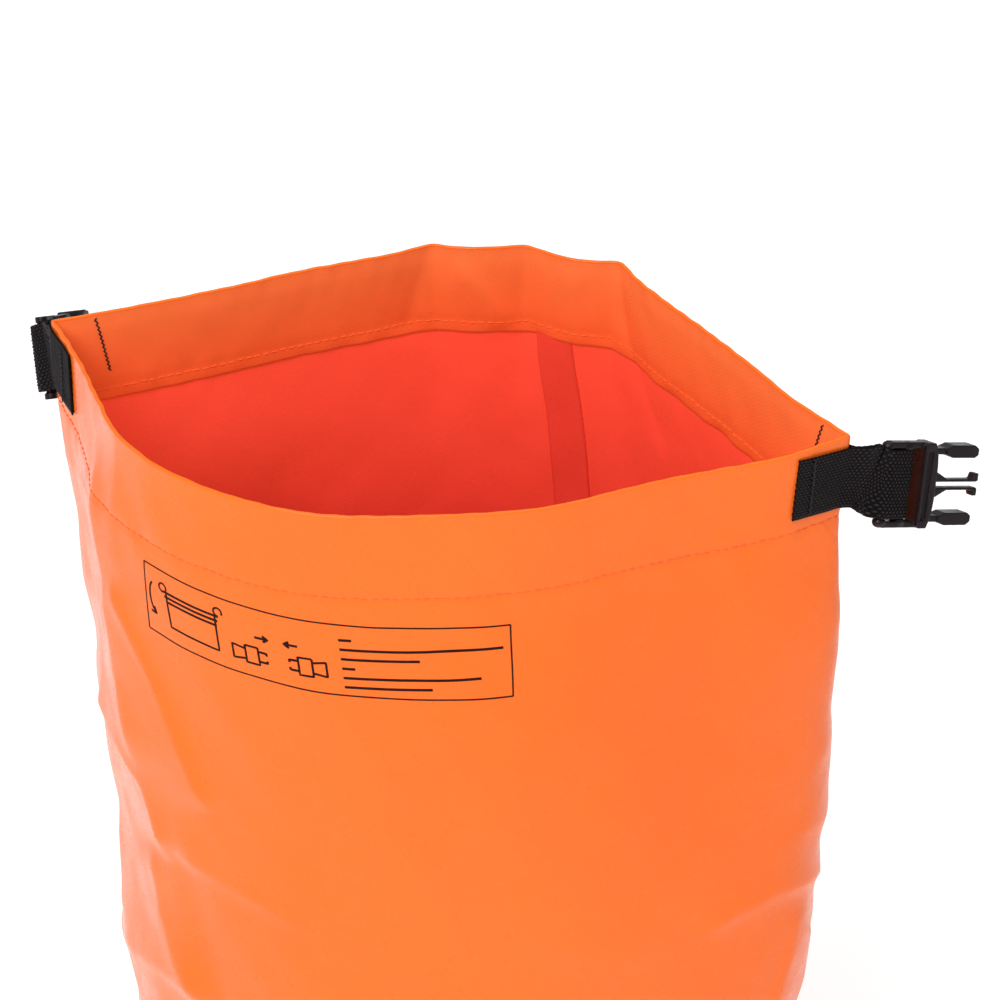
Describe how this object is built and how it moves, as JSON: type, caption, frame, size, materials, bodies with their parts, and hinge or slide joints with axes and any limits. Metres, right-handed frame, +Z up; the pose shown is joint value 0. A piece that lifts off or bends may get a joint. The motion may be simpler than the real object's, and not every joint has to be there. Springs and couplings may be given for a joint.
{
  "type": "roll-top dry bag",
  "caption": "Open roll-top dry bag: welded coated-fabric tube with a round base, a stitched hem with a stiffening blade, and a side-release buckle on sewn webbing straps.",
  "frame": {"origin": "centre of the round base, on the face that rests on the ground", "axes": "+Z up the bag, +X along the mouth's long axis towards the buckle's plug, -Y towards the front face"},
  "size_m": [0.3555, 0.2384, 0.56],
  "materials": {
    "coated_fabric": "semi-gloss coated, fine diagonal weave",
    "blade_plastic": "satin",
    "orange_thread": "matt",
    "black_thread": "matt",
    "webbing": "matt woven",
    "buckle_plastic": "satin moulded"
  },
  "bodies": {
    "bag": {"body_panel": "coated_fabric", "side_lap": "coated_fabric", "base_cup": "coated_fabric", "stiffening_blade": "blade_plastic", "hem_thread": "orange_thread", "plug_tab_front": "webbing", "plug_tab_back": "webbing", "socket_tab_front": "webbing", "socket_tab_back": "webbing", "plug_tab_stitches": "black_thread", "socket_tab_stitches": "black_thread"},
    "plug_strap": {"plug_strap_free": "webbing"},
    "plug": {"plug_strap_wrap": "webbing", "plug_frame": "buckle_plastic"},
    "upper_latch": {"upper_latch_arm": "buckle_plastic"},
    "lower_latch": {"lower_latch_arm": "buckle_plastic"},
    "socket_strap": {"socket_strap_loop": "webbing"},
    "socket": {"socket_body": "buckle_plastic"}
  },
  "joints": [
    {"name": "plug_strap_swing", "type": "hinge", "parent": "bag", "child": "plug_strap", "pos_m": [0.1494, 0, 0.5453], "axis": [0, 0, 1], "range_deg": [-80, 30]},
    {"name": "plug_swivel", "type": "hinge", "parent": "plug_strap", "child": "plug", "pos_m": [0.15862, 0.00859, 0.5373], "axis": [0.0058, 0.3823, 0.924], "range_deg": [-45, 45]},
    {"name": "upper_latch_press", "type": "hinge", "parent": "plug", "child": "upper_latch", "pos_m": [0.17331, 0.02693, 0.54293], "axis": [-0.7111, 0.6512, -0.265], "range_deg": [0, 8], "stiffness_Nm_per_rad": 1.2},
    {"name": "lower_latch_press", "type": "hinge", "parent": "plug", "child": "lower_latch", "pos_m": [0.17317, 0.01753, 0.5202], "axis": [0.7111, -0.6512, 0.265], "range_deg": [0, 8], "stiffness_Nm_per_rad": 1.2},
    {"name": "socket_strap_swing", "type": "hinge", "parent": "bag", "child": "socket_strap", "pos_m": [-0.1494, 0, 0.5453], "axis": [0, 0, 1], "range_deg": [-8, 70]},
    {"name": "socket_swivel", "type": "hinge", "parent": "socket_strap", "child": "socket", "pos_m": [-0.15846, 0.00875, 0.5373], "axis": [-0.2439, 0.4322, 0.8682], "range_deg": [-8, 94]}
  ]
}
